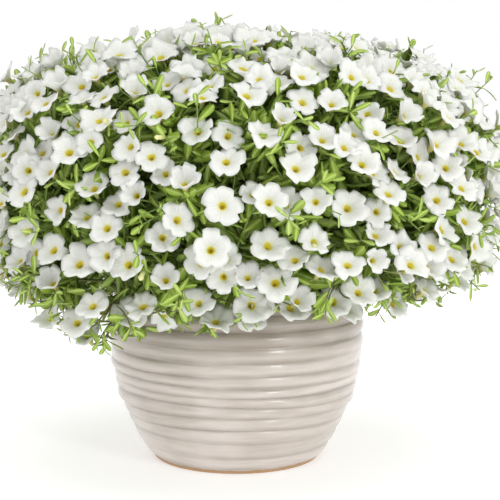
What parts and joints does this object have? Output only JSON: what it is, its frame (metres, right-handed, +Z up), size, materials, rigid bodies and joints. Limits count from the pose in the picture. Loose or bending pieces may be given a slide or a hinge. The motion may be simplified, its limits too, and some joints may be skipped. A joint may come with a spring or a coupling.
{
  "type": "potted calibrachoa",
  "caption": "Dense mound of small white five-lobed trumpet flowers and narrow leaves on wiry stems, planted in a ridged hand-thrown glazed bowl.",
  "frame": {"origin": "middle of the bowl's foot, on the surface that the bowl stands on", "axes": "+Z up; the pictured side faces -Y; +X is the picture's right"},
  "size_m": [0.5334, 0.5361, 0.4241],
  "materials": {
    "glaze": "warm greige satin-gloss glaze over throwing ridges, greyer in the grooves, with a bare clay line at the foot",
    "soil": "dark moist potting mix of peat and bark crumbs, fully matt",
    "foliage": "soft mid-green narrow leaves with a paler midrib on light green wiry stems, slightly sticky sheen",
    "petals": "thin matt white petals with faint grey veins round a yellow throat with an olive-brown eye"
  },
  "bodies": {
    "root": {"bowl": "glaze", "soil": "soil", "spray_01": "foliage", "spray_02": "foliage", "spray_03": "foliage", "spray_04": "foliage", "spray_05": "foliage", "spray_06": "foliage", "spray_07": "foliage", "spray_08": "foliage", "spray_09": "foliage", "spray_10": "foliage", "spray_11": "foliage", "spray_12": "foliage", "spray_13": "foliage", "spray_14": "foliage", "spray_15": "foliage", "spray_16": "foliage", "spray_17": "foliage", "spray_18": "foliage", "spray_19": "foliage", "spray_20": "foliage", "spray_21": "foliage", "spray_22": "foliage", "spray_23": "foliage", "spray_24": "foliage", "spray_25": "foliage", "spray_26": "foliage", "spray_27": "foliage", "spray_28": "foliage", "spray_29": "foliage", "spray_30": "foliage", "spray_31": "foliage", "spray_32": "foliage", "spray_33": "foliage", "spray_34": "foliage"}
  },
  "joints": []
}
